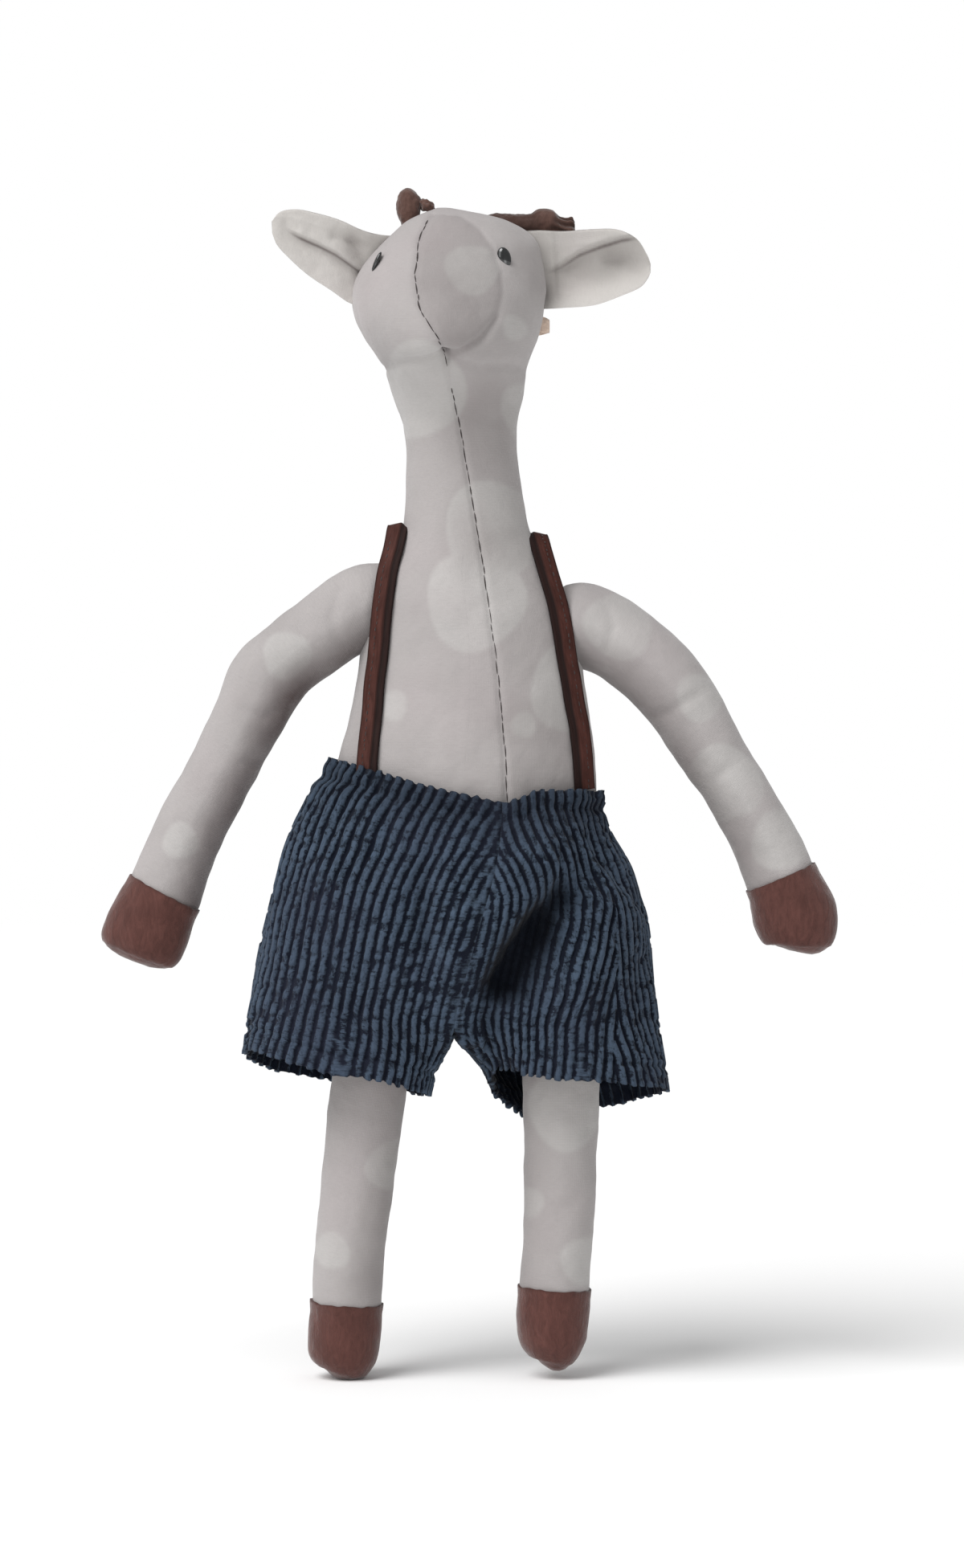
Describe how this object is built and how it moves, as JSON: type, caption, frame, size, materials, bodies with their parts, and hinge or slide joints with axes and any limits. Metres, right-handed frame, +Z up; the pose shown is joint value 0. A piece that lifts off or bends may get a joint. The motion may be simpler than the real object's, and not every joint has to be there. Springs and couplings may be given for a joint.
{
  "type": "stuffed cloth giraffe doll",
  "caption": "Stuffed cloth giraffe doll with suede hooves and horns, corduroy shorts on leather straps, and a nodding head, swinging arms and legs and folding ears.",
  "frame": {"origin": "centre of the doll's box on the ground, under the foot hooves", "axes": "+Z up the doll from hooves to horns; the face looks along -Y; +X is to the right of someone facing the doll"},
  "size_m": [0.2457, 0.0787, 0.4],
  "materials": {
    "cover_cotton": "plain-weave cotton printed with pale round spots",
    "ear_lining": "paler plain-weave cotton",
    "stuffing": "polyester fibre fill",
    "corduroy": "navy five-wale corduroy",
    "strap_leather": "soft brown leather with darker cut edges",
    "elastic": "woven elastic",
    "eye_bead": "black glossy bead",
    "horn_suede": "brown suede",
    "hoof_suede": "red-brown suede",
    "loop_tape": "beige woven tape"
  },
  "bodies": {
    "torso": {"body_stuffing": "stuffing", "body_cover_left": "cover_cotton", "body_cover_right": "cover_cotton", "strap_left": "strap_leather", "strap_right": "strap_leather", "shorts_seat_left": "corduroy", "shorts_seat_right": "corduroy", "waist_elastic": "elastic"},
    "head": {"head_stuffing": "stuffing", "head_cover_left": "cover_cotton", "head_cover_right": "cover_cotton", "face_panel": "cover_cotton", "eye_left": "eye_bead", "eye_right": "eye_bead", "horn_left": "horn_suede", "horn_right": "horn_suede", "hanging_loop": "loop_tape"},
    "left_ear": {"ear_left_front": "ear_lining", "ear_left_back": "cover_cotton"},
    "right_ear": {"ear_right_front": "ear_lining", "ear_right_back": "cover_cotton"},
    "left_arm": {"arm_left_stuffing": "stuffing", "arm_left_sleeve": "cover_cotton", "arm_left_hoof": "hoof_suede"},
    "right_arm": {"arm_right_stuffing": "stuffing", "arm_right_sleeve": "cover_cotton", "arm_right_hoof": "hoof_suede"},
    "left_leg": {"leg_left_stuffing": "stuffing", "leg_left_sleeve": "cover_cotton", "leg_left_hoof": "hoof_suede", "shorts_leg_left": "corduroy"},
    "right_leg": {"leg_right_stuffing": "stuffing", "leg_right_sleeve": "cover_cotton", "leg_right_hoof": "hoof_suede", "shorts_leg_right": "corduroy"}
  },
  "joints": [
    {"name": "neck_nod", "type": "hinge", "parent": "torso", "child": "head", "pos_m": [0, 0.006, 0.3], "axis": [1, 0, 0], "range_deg": [-30, 40]},
    {"name": "left_shoulder_swing", "type": "hinge", "parent": "torso", "child": "left_arm", "pos_m": [-0.037, 0.006, 0.2605], "axis": [-1, 0, 0], "range_deg": [-60, 90]},
    {"name": "right_shoulder_swing", "type": "hinge", "parent": "torso", "child": "right_arm", "pos_m": [0.037, 0.006, 0.2535], "axis": [-1, 0, 0], "range_deg": [-60, 90]},
    {"name": "left_hip_swing", "type": "hinge", "parent": "torso", "child": "left_leg", "pos_m": [-0.03, 0.006, 0.142], "axis": [-1, 0, 0], "range_deg": [-20, 80]},
    {"name": "right_hip_swing", "type": "hinge", "parent": "torso", "child": "right_leg", "pos_m": [0.03, 0.006, 0.142], "axis": [-1, 0, 0], "range_deg": [-20, 80]},
    {"name": "left_ear_fold", "type": "hinge", "parent": "head", "child": "left_ear", "pos_m": [-0.0362, 0.006, 0.372], "axis": [0.3, 0, 0.9539], "range_deg": [-20, 45]},
    {"name": "right_ear_fold", "type": "hinge", "parent": "head", "child": "right_ear", "pos_m": [0.0262, 0.006, 0.372], "axis": [0.3, 0, -0.9539], "range_deg": [-20, 45]}
  ]
}
